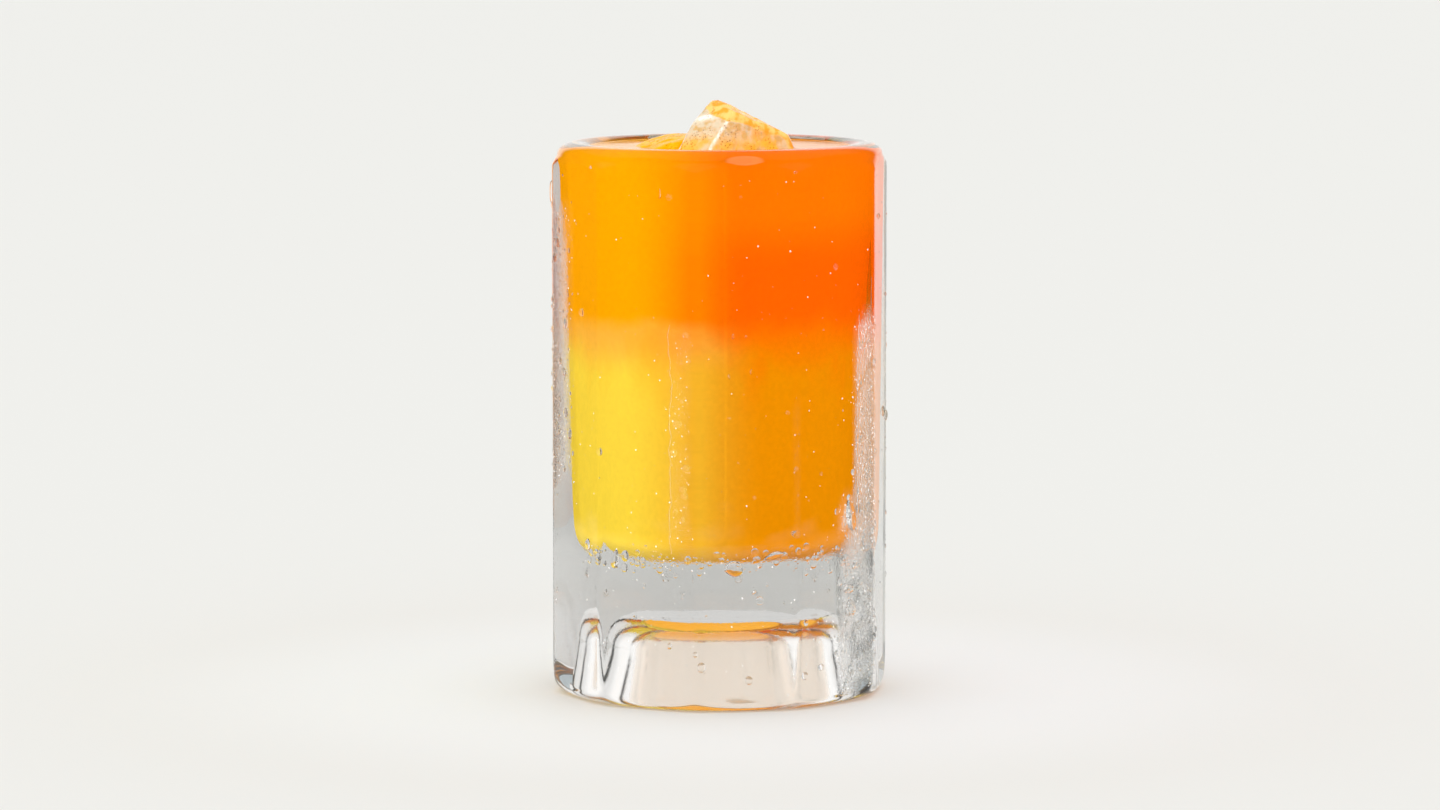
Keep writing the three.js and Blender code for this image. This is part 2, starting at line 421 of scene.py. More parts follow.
# How misty the outside is at a point, as (fine, coarse)
def mistAt(x, y, z):
    angle = math.degrees(math.atan2(x, -y))
    patchy = noise.noise(Vector((x, y, z * 0.5)) * mist["raggedPitch"])
    edge = mist["softAngle"]
    fine, coarse = mist["everywhere"]
    for band in mist["bands"]:
        (left, right), (low, high) = band["angles"], band["heights"]
        depth = min(mist["softHeight"], (high - low) / 2)
        across = min(easeIn(angle, left - edge, left + edge), easeIn(-angle, -right - edge, -right + edge))
        upright = min(easeIn(z, low - depth / 2, low + depth), easeIn(-z, -high - depth / 2, -high + depth))
        amount = across * upright * min(max(1 + mist["ragged"] * patchy, 0), 1)
        fine = max(fine, amount * band["fine"])
        coarse = max(coarse, amount * band["coarse"])
    return fine, coarse


# Stores how misty each point outside is, for the material or the scattered beads to read
def addMist(mesh, wanted=("fine", "coarse")):
    inside = shape["panelsFrom"] * mm
    values = [mistAt(*(v.co / mm)) if v.co.xy.length > inside else (0, 0) for v in mesh.vertices]
    for name, column in zip(("fine", "coarse"), zip(*values)):
        if name in wanted:
            mesh.attributes.new(name, "FLOAT", "POINT").data.foreach_set("value", column)


glassLook = {
    "waves": (0.25, 0.06), "calmer": (108, 120),  # on the body and at the rim, and the heights between
    # The hollow under the foot is warmer, and a little duller low down: radii and heights in mm
    "hollowColour": "#fdf1e4", "hollowRadius": (23.5, 24.5), "hollowTop": (20, 22),
    "hollowDull": (0.12, 0.01), "dullTop": (14.5, 17),
    # Painted shade: a dark olive tint on the rim up to its crest, in streaks: height, radius and how much
    "rimPaintedShade": "#6a5d2a", "rimShadeHeight": (124.1, 124.4), "rimShadeRadius": (32.6, 33.4), "rimShadeShare": (0.35, 0.9),
    "mistDull": 0.07, "mistWhite": 0.07,  # how much rougher and less clear full mist makes the glass
}


# Heavy pressed glass: clear and shiny, but wavy enough to bend what is behind it
def makeGlassMaterial():
    look = glassLook
    material, tree = newMaterial("soda-lime glass, pressed")
    coordinates = addNode(tree, "ShaderNodeTexCoord").outputs["Object"]
    parts = addNode(tree, "ShaderNodeSeparateXYZ", {"Vector": coordinates}).outputs
    # The mould leaves slow waves about 12 mm long, which bend what is seen through the walls
    waviness = fadeOf(tree, parts[2], look["calmer"], *look["waves"])
    wavy = bumpOf(tree, noiseOf(tree, coordinates, 80.0, 1.0), waviness, 0.001)
    # Mist: beads about 0.3 mm across that scatter what is behind them and whiten it
    frost = rangeOf(tree, addNode(tree, "ShaderNodeAttribute", attribute_name="fine").outputs["Fac"],
                    0.02, 1.0, 0.0, 1.0, "LINEAR")
    beading = addNode(tree, "ShaderNodeTexVoronoi", {"Vector": coordinates, "Scale": 3000.0})
    beaded = bumpOf(tree, beading.outputs["Distance"], frost, 0.00018, wavy, invert=True)
    # The hollow is left a little duller than the fire-polished outside
    radius = mathOf(tree, "SQRT", mathOf(tree, "ADD", mathOf(tree, "POWER", parts[0], 2.0),
                                         mathOf(tree, "POWER", parts[1], 2.0)))
    inHollow = mathOf(tree, "MULTIPLY", fadeOf(tree, radius, look["hollowRadius"], 1.0, 0.0),
                      fadeOf(tree, parts[2], look["hollowTop"], 1.0, 0.0))
    tone = blendOf(tree, inHollow, "#ffffff", look["hollowColour"])
    # Painted shade on the rim's crest, in streaks
    streaks = rangeOf(tree, noiseOf(tree, coordinates, 150.0, 2.0), 0.4, 0.55, *look["rimShadeShare"])
    onRim = mathOf(tree, "MULTIPLY", fadeOf(tree, parts[2], look["rimShadeHeight"], 0.0, 1.0),
                   fadeOf(tree, radius, look["rimShadeRadius"], 1.0, 0.0))
    tone = blendOf(tree, mathOf(tree, "MULTIPLY", onRim, streaks), tone, look["rimPaintedShade"])
    dull = mathOf(tree, "MULTIPLY", inHollow, fadeOf(tree, parts[2], look["dullTop"], *look["hollowDull"]))
    misted = mathOf(tree, "MULTIPLY", frost, look["mistDull"])
    glass = addNode(tree, "ShaderNodeBsdfPrincipled", {
        "Base Color": tone, "Roughness": mathOf(tree, "MAXIMUM", dull, misted), "IOR": 1.52,
        "Transmission Weight": rangeOf(tree, frost, 0.0, 1.0, 1.0, 1 - look["mistWhite"], "LINEAR"),
        "Normal": beaded,
    })
    # Light that has been thrown about inside the foot three times is let out, and isn't lost
    bounces = addNode(tree, "ShaderNodeLightPath").outputs["Glossy Depth"]
    surface = clearShadow(tree, glass, "#fcfdfc", mathOf(tree, "GREATER_THAN", bounces, 2.5))
    # A faint grey over the 70 mm of glass in the foot, and next to nothing in the wall
    tint = addNode(tree, "ShaderNodeVolumeAbsorption", {"Color": linear("#cbcbca"), "Density": 16.0})
    addNode(tree, "ShaderNodeOutputMaterial", {"Surface": surface, "Volume": tint.outputs[0]})
    return material


glassMaterial = makeGlassMaterial()
tumbler = turned("tumbler", makeGlassProfile(), [glassMaterial])
addMist(tumbler.data, ("fine",))
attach(tumbler, "root")
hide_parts("glass")
print("tumbler made:", len(tumbler.data.polygons), "faces")

# Half-melted cubes. Each face is (x, y, z, distance): which way it looks, and how many mm it lies
# from the cube's centre. The smaller the sharpness, the more its edges have melted.
ice = {
    "tall": {
        "node": "ice_tall", "centre": (1.6, -11.9, 120.3), "sharpness": 26, "steps": 72,
        "coated": (3, 4, 6),  # faces that juice still clings to
        "faces": [
            (-0.48, -0.66, 0.58, 11.3), (0.3, -0.94, 0.14, 5.9), (-0.41, -0.34, 0.85, 13.2),
            (0.42, -0.16, 0.89, 11.3), (0.42, 0.69, 0.6, 9.6), (-0.75, 0.63, 0.2, 9.2),
            (0.9, -0.25, 0.35, 13.4), (0.57, 0.49, -0.65, 12.5), (-0.32, 0.92, -0.22, 11.5),
            (-0.42, 0.16, -0.89, 12.0), (-0.42, -0.69, -0.6, 12.0),
        ],
    },
    "low": {
        "node": "ice_low", "centre": (-12.9, -1.9, 117.2), "sharpness": 8, "steps": 56,
        "coated": range(9),  # all of them
        "faces": [
            (-0.13, -0.08, 0.99, 8.6), (-0.58, -0.11, 0.81, 8.9), (0.75, -0.63, -0.2, 6.8),
            (0.4, -0.07, -0.91, 8.5), (-0.96, -0.27, 0.11, 9.8), (0.05, -0.99, 0.11, 9.0),
            (-0.19, 0.98, 0, 8), (0.87, 0.49, 0, 8.5), (-0.55, 0.45, -0.7, 8.5),
        ],
    },
}
melting = {
    "depth": 0.35,  # mm that the surface wavers by
    "waves": ((0.16, 1), (0.45, 0.5), (1.1, 0.3)),  # how many to a mm, and share of the depth
    "overlap": 0.15,  # mm of ice inside the juice, so that no gap shows between them
}


# A cube-sphere whose points are drawn in to a smoothed smallest distance to the ice's faces
def makeIce(name, facts, grow, materials=()):
    builder = bmesh.new()
    bmesh.ops.create_cube(builder, size=2)
    bmesh.ops.subdivide_edges(builder, edges=builder.edges[:], cuts=facts["steps"] // 2, use_grid_fill=True)
    planes = [(Vector(f[:3]).normalized(), f[3] + grow) for f in facts["faces"]]
    centre = Vector(facts["centre"])
    ridge = builder.verts.layers.float.new("ridge")
    film = builder.verts.layers.float.new("film")
    sharpness = facts["sharpness"]
    for vertex in builder.verts:
        way = Vector([math.tan(c * math.pi / 4) for c in vertex.co]).normalized()
        pulls = sorted((max(0, way.dot(normal)) / distance) ** sharpness for normal, distance in planes)
        vertex[ridge] = (pulls[-2] / pulls[-1]) ** 0.6  # 1 where two faces meet
        # 1 on the coated faces, falling off past their edges
        coated = max(way.dot(planes[i][0]) / planes[i][1] for i in facts["coated"])
        vertex[film] = coated / pulls[-1] ** (1 / sharpness)
        reach = sum(pulls) ** (-1 / sharpness)
        point = centre + way * reach
        wavering = sum(noise.noise(point * pitch) * share for pitch, share in melting["waves"])
        vertex.co = (centre + way * (reach + melting["depth"] * wavering)) * mm
    mesh = bpy.data.meshes.new(name)
    builder.to_mesh(mesh)
    builder.free()
    mesh.shade_smooth()
    for material in materials:
        mesh.materials.append(material)
    piece = bpy.data.objects.new(name, mesh)
    scene.collection.objects.link(piece)
    return piece


iceLook = {
    "core": "#ddd3b6", "cloud": "#d2b276",
    # Painted highlight along the ridges, where two faces meet
    "ridgeHighlight": "#fffaf0", "ridgeHighlightFrom": (0.34, 0.85), "ridgeHighlightShare": 0.92,
    # Juice that clings to the ice, thin and thick, and the gloss that it leaves
    "film": {"tall": ("#f7cb74", "#fba636"), "low": ("#f2ba1e", "#eba804")},
    "gloss": {"tall": 0.35, "low": 0.05},
    "filmFrom": (0.84, 0.9),
    "crown": (129, 132), "crownFilm": 0.12,  # the top, where more of it has stayed: heights in mm
    "paintedShowThrough": "#fcb44c", "paintedShowThroughFrom": (2, 9),  # mm to the right, where the juice behind is painted as showing through
    "waterline": "#ffc23a", "waterlineFrom": (128.5, 124.5),  # heights in mm; juice seen through the ice near the waterline, painted on
    "clearness": (0.16, 0.06),  # of bare ice, and of what a film or the painted ridge highlight covers
}


# Cloudy ice under a film of juice, which is thick on some sides and missing on others
def makeIceMaterial(name, films, gloss):
    material, tree = newMaterial(name)
    coordinates = addNode(tree, "ShaderNodeTexCoord").outputs["Object"]
    faced = addNode(tree, "ShaderNodeMapping", {"Vector": coordinates, "Rotation": (0, 0, turn)}).outputs[0]
    parts = addNode(tree, "ShaderNodeSeparateXYZ", {"Vector": faced}).outputs
    # Patches about 4 mm across and twice as tall, and grain about 2 mm across
    drawn = addNode(tree, "ShaderNodeMapping", {"Vector": faced, "Scale": (1, 1, 0.5)}).outputs[0]
    patches = noiseOf(tree, drawn, 230.0, 3.0)
    fine = noiseOf(tree, faced, 520.0, 2.0)
    coat = addNode(tree, "ShaderNodeAttribute", attribute_name="film").outputs["Fac"]
    crown = fadeOf(tree, parts[2], iceLook["crown"], 0.0, iceLook["crownFilm"])
    ragged = mathOf(tree, "MULTIPLY_ADD", mathOf(tree, "SUBTRACT", patches, 0.5), 0.22, coat)
    film = rangeOf(tree, mathOf(tree, "ADD", ragged, crown), *iceLook["filmFrom"], 0.0, 1.0)
    filmColour = blendOf(tree, rangeOf(tree, fine, 0.4, 0.62, 0.0, 1.0), *films)
    core = blendOf(tree, rangeOf(tree, fine, 0.4, 0.65, 0.0, 1.0), iceLook["core"], iceLook["cloud"])
    # Painted show-through: the juice's orange, painted on towards the right
    toRight = mathOf(tree, "MULTIPLY", fadeOf(tree, parts[0], iceLook["paintedShowThroughFrom"], 0.1, 0.9),
                     rangeOf(tree, patches, 0.42, 0.58, 0.1, 1.0))
    paintedThrough = blendOf(tree, toRight, core, iceLook["paintedShowThrough"])
    # Painted show-through: the juice near the waterline, painted yellow on the ice's lower part
    sunk = mathOf(tree, "MULTIPLY", fadeOf(tree, parts[2], iceLook["waterlineFrom"], 0.0, 0.85),
                  rangeOf(tree, patches, 0.38, 0.55, 0.25, 1.0))
    paintedBelowWaterline = blendOf(tree, sunk, paintedThrough, iceLook["waterline"])
    # Painted highlight: the ridges, where two faces meet, are painted white
    ridge = addNode(tree, "ShaderNodeAttribute", attribute_name="ridge").outputs["Fac"]
    ridgeHighlight = mathOf(tree, "MULTIPLY", rangeOf(tree, ridge, *iceLook["ridgeHighlightFrom"], 0.0, iceLook["ridgeHighlightShare"]),
                   rangeOf(tree, fine, 0.35, 0.5, 0.3, 1.0))
    colour = blendOf(tree, film, blendOf(tree, ridgeHighlight, paintedBelowWaterline, iceLook["ridgeHighlight"]), filmColour)
    # Dents about 3 mm across, left by melting, and bubbles frozen in, under a millimetre
    melted = bumpOf(tree, noiseOf(tree, faced, 330.0, 3.0), 0.6, 0.001)
    bubbles = addNode(tree, "ShaderNodeTexVoronoi", {"Vector": coordinates, "Scale": 1600.0})
    pitted = bumpOf(tree, rangeOf(tree, bubbles.outputs["Distance"], 0.15, 0.35, 0.0, 1.0),
                    rangeOf(tree, patches, 0.48, 0.56, 0.0, 0.9), 0.0003, melted)
    covered = mathOf(tree, "MAXIMUM", film, ridgeHighlight)
    surface = addNode(tree, "ShaderNodeBsdfPrincipled", {
        "Base Color": colour, "Roughness": 0.1, "IOR": 1.31, "Normal": pitted,
        "Specular IOR Level": gloss,
        "Transmission Weight": rangeOf(tree, covered, 0.0, 1.0, *iceLook["clearness"], "LINEAR"),
    })
    addNode(tree, "ShaderNodeOutputMaterial", {"Surface": clearShadow(tree, surface, "#fff9ed")})
    return material


cutters = []
for name, facts in ice.items():
    films, gloss = iceLook["film"][name], iceLook["gloss"][name]
    wetIce = makeIceMaterial(f"cloudy ice wet with juice, {name}", films, gloss)
    chunk = makeIce("ice" + name.capitalize(), facts, 0, [wetIce])
    sparkling.objects.link(chunk)
    keepDark(chunk)
    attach(chunk, "root")
    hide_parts(facts["node"])
    cutters.append(makeIce("pocket" + name.capitalize(), facts, -melting["overlap"]))
print("ice made")

# Heights, depths and places across are in mm
juice = {
    "reach": 0.12,  # how far it goes into the glass, so that no air shows between them
    "level": 124, "layer": 86,
    "meniscus": 0.25, "meniscusWidth": 1.6,  # how far the drink climbs up the glass
    # Each juice is lighter on the left, partly as painted light from the left and partly as juice mixed
    # unevenly: its colour there, its colour on the right, and where across the drink one fades into the
    # other
    "carrot": ("#ffaa00", "#ff6600", (-20, 6)),
    "orange": ("#ffdd44", "#f09400", (-22, 10)),
    "paintedBrimLight": {"colour": "#ffb400", "from": (121.6, 123.4), "share": 0.55},  # yellower at the brim, painted light
    "openShade": 0.38,  # painted shade: the open surface is darkened, as it gets the windows' light without glass in the way
    "paleTop": (98, 112), "paleShare": 0.22,  # heights between which the carrot juice turns paler towards the top, painted light
    # Where one juice turns into the other: its middle and its depth, on the left and on the right
    "edgeLeft": (85.4, 6), "edgeRight": (81.5, 17),
    "leftToRight": (-6.7, 5.6),  # places across between which the edge changes
    "swirl": 2.4,  # how far the edge wavers
    # Cloud of carrot juice in the top of the orange juice: how much of it there is at most, where
    # it fades out to the right, the heights it fades in between
    "haze": {"colour": "#ffa040", "most": 0.62, "across": (-5, 7), "heights": (72.5, 84)},
    "wisps": (62, 82), "wispShare": 0.4,
    # Painted glow standing in for light that has sunk through the drink and leaves it by the underside and
    # the lower corner
    "underside": "#ffb62c", "undersideFrom": (32.5, 31.8), "undersideGlow": 0.85,
    "cornerFrom": (39, 34.5), "cornerGlow": 0.2,
    # Pale ellipse where the ice touches the front wall: middle, half sizes, how deep it goes back
    "icePatch": {"middle": (5.0, 122.4), "half": (4.4, 1.3), "colour": "#ff9a55", "depth": (-10, -5)},
}


# Orange juice under carrot juice: both pieces share one colour rule, so no seam shows between them
def makeJuiceMaterial(name, wet):
    material, tree = newMaterial(name)
    coordinates = addNode(tree, "ShaderNodeTexCoord").outputs["Object"]
    faced = addNode(tree, "ShaderNodeMapping", {"Vector": coordinates, "Rotation": (0, 0, turn)})
    parts = addNode(tree, "ShaderNodeSeparateXYZ", {"Vector": faced.outputs[0]}).outputs
    # Lighter on the left: partly painted light, partly juice mixed unevenly
    light, deep, fading = juice["carrot"]
    # Painted light: paler towards the top
    deeper = mathOf(tree, "MULTIPLY", fadeOf(tree, parts[0], fading, 0.0, 1.0),
                    fadeOf(tree, parts[2], juice["paleTop"], 1.0, 1 - juice["paleShare"]))
    carrot = blendOf(tree, deeper, light, deep)
    # Painted light: yellower at the brim
    paintedBrimLight = juice["paintedBrimLight"]
    carrot = blendOf(tree, fadeOf(tree, parts[2], paintedBrimLight["from"], 0.0, paintedBrimLight["share"]), carrot, paintedBrimLight["colour"])
    # Swirls about 14 mm long make the edge between the juices uneven
    swirl = juice["swirl"] * mm
    wavering = rangeOf(tree, noiseOf(tree, coordinates, 70.0, 3.0), 0.25, 0.75, -swirl, swirl, "LINEAR")
    height = mathOf(tree, "ADD", parts[2], wavering)
    (leftZ, leftDepth), (rightZ, rightDepth) = juice["edgeLeft"], juice["edgeRight"]
    middle = fadeOf(tree, parts[0], juice["leftToRight"], leftZ * mm, rightZ * mm)
    half = fadeOf(tree, parts[0], juice["leftToRight"], leftDepth / 2 * mm, rightDepth / 2 * mm)
    edge = rangeOf(tree, height, mathOf(tree, "SUBTRACT", middle, half), mathOf(tree, "ADD", middle, half),
                   0.0, 1.0)
    # Wisps of carrot juice sink a little way into the orange juice
    drawn = addNode(tree, "ShaderNodeMapping", {"Vector": coordinates, "Scale": (1, 1, 0.4)}).outputs[0]
    wisps = rangeOf(tree, noiseOf(tree, drawn, 110.0, 3.0), 0.4, 0.7, 0.0, juice["wispShare"])
    sinking = mathOf(tree, "MULTIPLY", wisps, fadeOf(tree, parts[2], juice["wisps"], 0.0, 1.0))
    haze = juice["haze"]
    hanging = mathOf(tree, "MULTIPLY", fadeOf(tree, parts[0], haze["across"], haze["most"], 0.0),
                     fadeOf(tree, height, haze["heights"], 0.0, 1.0))
    # Lighter on the left: partly painted light, partly juice mixed unevenly
    light, deep, fading = juice["orange"]
    orange = blendOf(tree, fadeOf(tree, parts[0], fading, 0.0, 1.0), light, deep)
    orange = blendOf(tree, hanging, orange, haze["colour"])
    layered = blendOf(tree, mathOf(tree, "MAXIMUM", edge, sinking), orange, carrot)
    # The pale ellipse: squared distance from its middle, which is 1 at its outline
    patch = juice["icePatch"]
    offsets = [mathOf(tree, "MULTIPLY_ADD", parts[axis], 1 / (mm * size), -middle / size)
               for axis, middle, size in zip((0, 2), patch["middle"], patch["half"])]
    off = mathOf(tree, "ADD", *[mathOf(tree, "POWER", offset, 2.0) for offset in offsets])
    touching = mathOf(tree, "MULTIPLY", rangeOf(tree, off, 0.7, 1.2, 0.8, 0.0),
                      fadeOf(tree, parts[1], patch["depth"], 1.0, 0.0))
    patched = blendOf(tree, touching, layered, patch["colour"])
    lowest = fadeOf(tree, parts[2], juice["undersideFrom"], 0.0, 1.0)
    glowing = blendOf(tree, lowest, patched, juice["underside"])
    glow = mathOf(tree, "MAXIMUM", fadeOf(tree, parts[2], juice["cornerFrom"], 0.0, juice["cornerGlow"]),
                  mathOf(tree, "MULTIPLY", lowest, juice["undersideGlow"]))
    # Pulp and fine cloudiness, about 1 mm across, and on the open surface the painted shade
    level = juice["openShade"] if wet else 1
    pulpAndPaintedShade = rangeOf(tree, noiseOf(tree, coordinates, 900.0, 2.0), 0.3, 0.7, 0.97 * level, 1.03 * level,
                    "LINEAR")
    colour = addNode(tree, "ShaderNodeHueSaturation", {"Color": glowing, "Value": pulpAndPaintedShade}).outputs[0]
    ripple = bumpOf(tree, noiseOf(tree, coordinates, 150.0, 1.0), 0.2, 0.0006)
    shader = addNode(tree, "ShaderNodeBsdfPrincipled", {
        "Base Color": colour, "Roughness": 0.12 if wet else 0.6, "IOR": 1.34,
        "Specular IOR Level": 0.1 if wet else 0.0, "Normal": ripple,
        "Emission Color": glowing, "Emission Strength": glow,
    })
    addNode(tree, "ShaderNodeOutputMaterial", {"Surface": shader.outputs[0]})
    material.cycles.emission_sampling = "NONE"  # the glow is too faint to be a lamp
    return material


juiceMaterials = [makeJuiceMaterial("cloudy juice behind glass", False),
                  makeJuiceMaterial("cloudy juice, open surface", True)]


def makeJuice():
    lower = cavityWall(juice["reach"], juice["layer"], 12, 24)
    lower += [(lower[-1][0] * t, juice["layer"]) for t in (0.66, 0.33, 0)]
    orange = turned("orangeJuice", lower, juiceMaterials)
    lipBase = shape["height"] - shape["lipInnerDrop"]
    innerWidth = shape["lipCrest"] - wallRadius(lipBase)
    edgeZ = juice["level"] + juice["meniscus"]
    rise = math.degrees(math.asin((edgeZ - lipBase) / shape["lipInnerDrop"]))
    start = wallRadius(juice["layer"]) + juice["reach"]
    upper = [(start * t, juice["layer"]) for t in (0, 0.33, 0.66)]
    upper += [(wallRadius(z) + juice["reach"], z) for z in np.linspace(juice["layer"], lipBase, 19)]
    upper += arc(shape["lipCrest"] + juice["reach"], lipBase, innerWidth, shape["lipInnerDrop"],
                 180, 180 - rise, 6)[1:]
    edgeR = upper[-1][0]
    for i in range(1, 9):
        out = i / 8 * juice["meniscusWidth"]
        upper.append((edgeR - out, juice["level"] + juice["meniscus"] * math.exp(-out * 2.4)))
    innerR = upper[-1][0]
    upper += [(innerR * (1 - i / 12), juice["level"]) for i in range(1, 13)]
    carrot = turned("carrotJuice", upper, juiceMaterials)
    return orange, carrot


orangeJuice, carrotJuice = makeJuice()
for cutter in cutters:
    cut = carrotJuice.modifiers.new("cut", "BOOLEAN")
    cut.object = cutter
    cut.operation = "DIFFERENCE"
    cut.solver = "MANIFOLD"
carved = bpy.data.meshes.new_from_object(carrotJuice.evaluated_get(bpy.context.evaluated_depsgraph_get()))
carrotJuice.modifiers.clear()
carrotJuice.data = carved
carved.materials.clear()
for material in juiceMaterials:
    carved.materials.append(material)
openFrom = (juice["level"] - 0.2) * mm
for polygon in carved.polygons:
    polygon.material_index = 1 if polygon.center.z > openFrom and polygon.normal.z > 0.6 else 0
print("open surface:", sum(p.material_index for p in carved.polygons), "of", len(carved.polygons), "faces")
for cutter in cutters:
    bpy.data.objects.remove(cutter)
for piece, node in ((orangeJuice, "orange_juice"), (carrotJuice, "carrot_juice")):
    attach(piece, "root")
    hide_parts(node)
print("juice made")


# Water on the outside of the glass, a little uneven so that each bead catches light its own way
def makeWaterMaterial(name, clearness):
    material, tree = newMaterial(name)
    coordinates = addNode(tree, "ShaderNodeTexCoord").outputs["Object"]
    water = addNode(tree, "ShaderNodeBsdfPrincipled", {
        "Base Color": (1, 1, 1, 1), "Roughness": 0.0, "IOR": 1.333, "Transmission Weight": clearness,
        "Normal": bumpOf(tree, noiseOf(tree, coordinates, 1200.0, 1.0), 0.3, 0.0001),
    })
    addNode(tree, "ShaderNodeOutputMaterial", {"Surface": clearShadow(tree, water, "#fdfdfd")})
    return material


# A bead of radius 1 whose flat back lies inside the glass
def makeBead(name, sides, profile):
    rings = [(r * math.cos(2 * math.pi * j / sides), r * math.sin(2 * math.pi * j / sides), z)
             for r, z in profile[:-1] for j in range(sides)]
    vertices = [(0, 0, profile[0][1])] + rings + [(0, 0, profile[-1][1])]
    faces = [(0, 1 + (j + 1) % sides, 1 + j) for j in range(sides)]
    for i in range(len(profile) - 2):
        low, high = 1 + i * sides, 1 + (i + 1) * sides
        faces += [(low + j, low + (j + 1) % sides, high + (j + 1) % sides, high + j) for j in range(sides)]
    top = 1 + (len(profile) - 2) * sides
    faces += [(top + j, top + (j + 1) % sides, len(vertices) - 1) for j in range(sides)]
    return newPiece(name, vertices, faces, [waterMaterial])


# The panels' surface, with how misty each point is
def makeMistedWall(low, high):
    columns = outline()
    count = len(columns)
    heights = np.linspace(low, high, round(high - low) + 1)
    vertices = [(r * math.sin(a) * mm, -r * math.cos(a) * mm, z * mm) for z in heights for a, r in columns]
    faces = []
    for i in range(len(heights) - 1):
        low, high = i * count, (i + 1) * count
        faces += [(low + j, low + (j + 1) % count, high + (j + 1) % count, high + j) for j in range(count)]
    wall = newPiece("mistedWall", vertices, faces, [waterMaterial])
    addMist(wall.data)
    return wall


# Scatters beads over a wall by a density attribute: many small ones and few large
def makeBeadScatter():
    tree = bpy.data.node_groups.new("bead scatter", "GeometryNodeTree")
    sockets = {"Wall": "Geometry", "Bead": "Object", "Density Name": "String", "Per Square Metre": "Float",
               "Smallest": "Float", "Largest": "Float", "Seed": "Int", "Water": "Material"}
    names = {}
    for name, kind in sockets.items():
        socket = tree.interface.new_socket(name, in_out="INPUT", socket_type="NodeSocket" + kind)
        names[name] = socket.identifier
    tree.interface.new_socket("Beads", in_out="OUTPUT", socket_type="NodeSocketGeometry")
    given = tree.nodes.new("NodeGroupInput").outputs
    amount = addNode(tree, "GeometryNodeInputNamedAttribute", {"Name": given["Density Name"]},
                     data_type="FLOAT")
    density = mathOf(tree, "MULTIPLY", amount.outputs[0], given["Per Square Metre"])
    points = addNode(tree, "GeometryNodeDistributePointsOnFaces", {
        "Mesh": given["Wall"], "Density": density, "Seed": given["Seed"],
    }, distribute_method="RANDOM")
    chance = addNode(tree, "FunctionNodeRandomValue", {2: 0.0, 3: 1.0, "Seed": given["Seed"]},
                     data_type="FLOAT")
    size = rangeOf(tree, mathOf(tree, "POWER", chance.outputs[1], 3.0), 0.0, 1.0, given["Smallest"],
                   given["Largest"], "LINEAR")
    uneven = addNode(tree, "FunctionNodeRandomValue", {
        0: (0.85, 0.85, 0.8), 1: (1.15, 1.3, 1.2), "Seed": given["Seed"],
    }, data_type="FLOAT_VECTOR")
    scale = addNode(tree, "ShaderNodeVectorMath", {0: uneven.outputs[0], "Scale": size}, operation="SCALE")
    bead = addNode(tree, "GeometryNodeObjectInfo", {"Object": given["Bead"], "As Instance": True})
    placed = addNode(tree, "GeometryNodeInstanceOnPoints", {
        "Points": points.outputs["Points"], "Instance": bead.outputs["Geometry"],
        "Rotation": points.outputs["Rotation"], "Scale": scale.outputs[0],
    })
    real = addNode(tree, "GeometryNodeRealizeInstances", {"Geometry": placed.outputs[0]})
    wet = addNode(tree, "GeometryNodeSetMaterial", {"Geometry": real.outputs[0], "Material": given["Water"]})
    addNode(tree, "NodeGroupOutput", {"Beads": wet.outputs[0]})
    return tree, names


# What is scattered where the wall is fully misted. Sizes are radii in mm.
beads = {
    "mist": {"Density Name": "fine", "Per Square Metre": 2.2e6, "Smallest": 0.06, "Largest": 0.23,
             "Seed": 3},
    "drops": {"Density Name": "coarse", "Per Square Metre": 3.2e5, "Smallest": 0.25, "Largest": 1.05,
              "Seed": 8},
}
waterMaterial = makeWaterMaterial("water, condensed", 1.0)
# Beads too fine to tell apart lie in clusters, which scatter white light
dewMaterial = makeWaterMaterial("dew, fine and white", 0.8)

# Drops big enough to tell apart: degrees round and height of the middle, half sizes across and
# upright, how far they stand out, degrees that they lean. Lengths are in mm.
singleDrops = [
    ((-59.6, 120.7), (0.55, 0.3), 0.25, 20), ((-30.7, 115.5), (0.22, 1.1), 0.2, 0),
    ((16.3, 120.2), (0.4, 0.28), 0.22, 0), ((-5.0, 84.1), (0.2, 0.62), 0.18, 0),
    ((-0.4, 84.0), (0.25, 0.3), 0.2, 0), ((1.3, 76.2), (0.2, 0.6), 0.18, 8),
    ((-6.4, 75.2), (0.22, 0.5), 0.18, -8), ((-4.8, 32.4), (2.1, 1.7), 0.85, 25),
    ((42.7, 42.6), (1.35, 3.6), 0.9, -12), ((41.6, 26.0), (1.5, 1.0), 0.7, 5),
    ((42.6, 21.6), (1.6, 1.9), 0.7, 0), ((9.5, 35.2), (2.2, 0.7), 0.6, -15),
    ((2.4, 27.0), (0.7, 0.3), 0.3, -35), ((-62.0, 36.0), (1.0, 1.3), 0.5, 0),
    ((-48.0, 33.6), (0.9, 2.2), 0.5, 10), ((-91.0, 114.0), (0.5, 2.6), 0.5, 0),
    ((100.0, 96.0), (0.5, 1.4), 0.4, 0), ((141.0, 70.0), (0.6, 1.8), 0.45, 4),
    ((-152.0, 58.0), (0.7, 1.6), 0.5, -4), ((-118.0, 98.0), (0.5, 1.2), 0.4, 0),
]
# Tracks of water that ran down: angle of the middle, heights, half width, how far it wavers
trickles = [
    (-27.0, (35, 87), 0.15, 1.6), (46.5, (36, 88), 0.24, 1.0),
    (122.0, (12, 66), 0.26, 1.2), (-128.0, (20, 76), 0.26, 1.4),
]
sunkIn = 0.08  # mm that the back of a drop lies inside the glass


